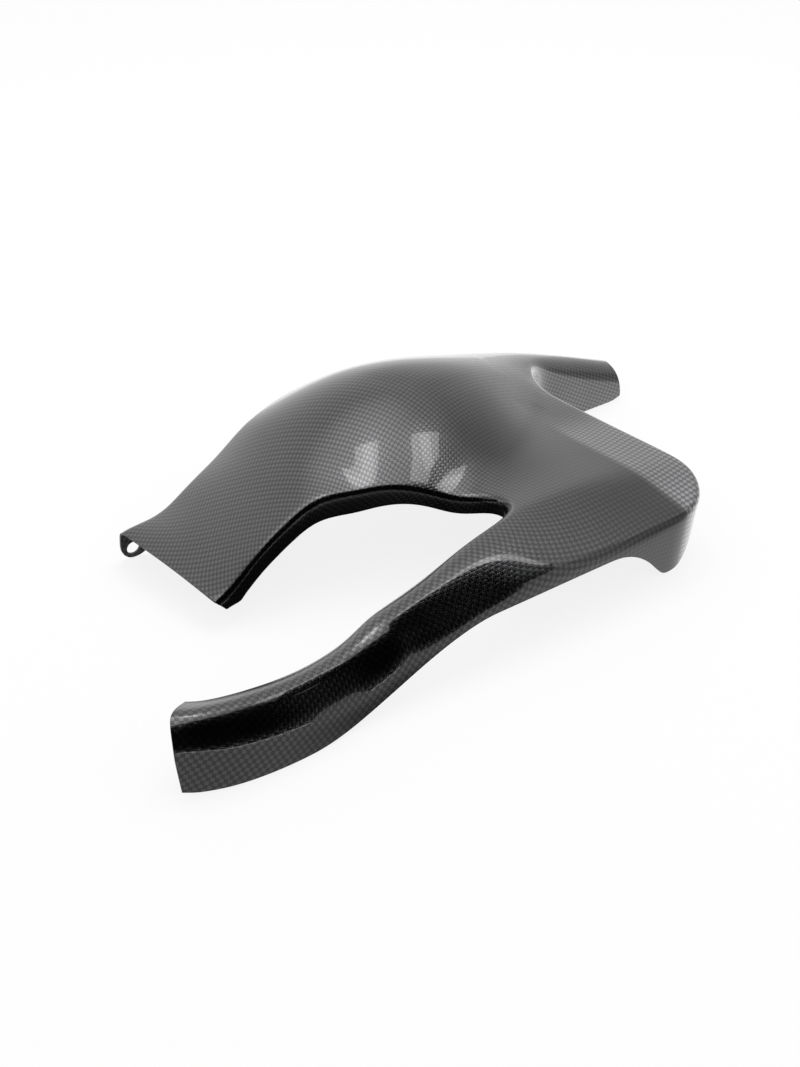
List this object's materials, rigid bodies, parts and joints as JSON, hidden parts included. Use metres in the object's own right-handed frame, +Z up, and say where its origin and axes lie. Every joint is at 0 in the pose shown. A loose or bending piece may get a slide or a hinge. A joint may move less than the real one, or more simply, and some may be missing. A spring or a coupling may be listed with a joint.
{
  "type": "motorcycle rear fender",
  "caption": "One-piece carbon rear tyre hugger with an arched tyre cover, a chain guard arm, a tail plate, a hose finger and one fixing lug.",
  "frame": {"origin": "middle of the bounding box, at its underside, where the shell rests", "axes": "+X points to the front of the motorcycle and along the longest side, +Y to its left, +Z up"},
  "size_m": [0.6866, 0.3292, 0.1304],
  "materials": {
    "carbon_laminate": "woven carbon laminate under clear gloss resin, plain cloth laid at 45 degrees with tows about 3.3 mm wide"
  },
  "bodies": {
    "root": {"fender_shell": "carbon_laminate"}
  },
  "joints": []
}
